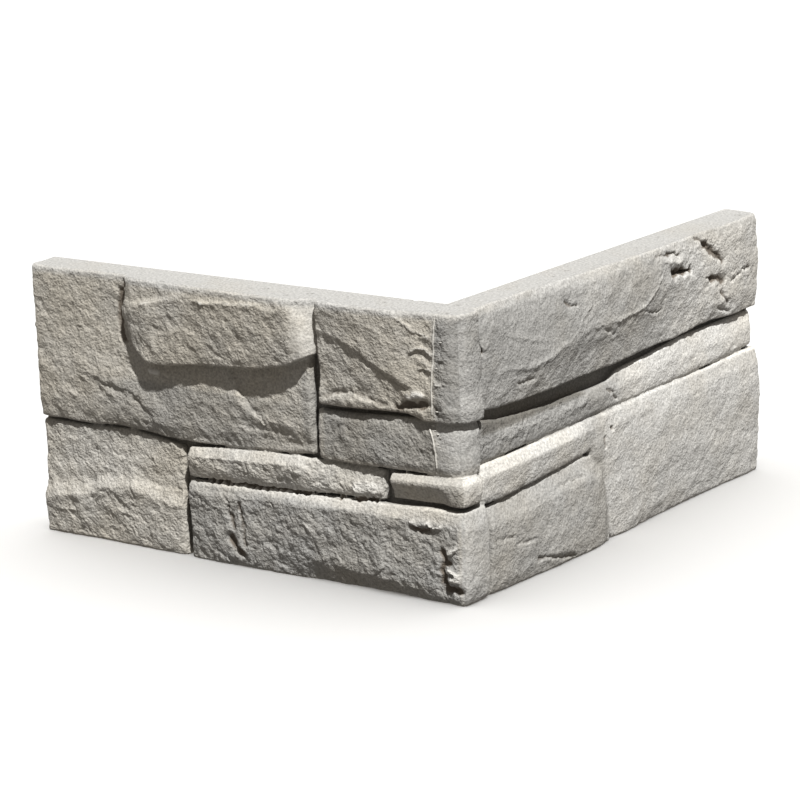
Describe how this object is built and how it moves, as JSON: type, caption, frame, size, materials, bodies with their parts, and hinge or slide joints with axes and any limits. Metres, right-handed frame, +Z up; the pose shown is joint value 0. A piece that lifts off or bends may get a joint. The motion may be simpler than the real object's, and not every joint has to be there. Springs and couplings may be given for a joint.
{
  "type": "concrete corner veneer",
  "caption": "L-shaped cast concrete corner veneer with ledge stones in courses on both outer faces and rounded corner returns, flat back.",
  "frame": {"origin": "inner corner of the L at the bottom edge: the arris of the wall that the piece covers", "axes": "+Z up along the wall's arris, +Y along the right wing, -X along the left wing; the stone faces look towards -Y and +X"},
  "size_m": [0.1916, 0.2065, 0.1],
  "materials": {
    "cast_concrete": "matte, fine-grained split-face cast concrete"
  },
  "bodies": {
    "root": {"corner_veneer": "cast_concrete"}
  },
  "joints": []
}
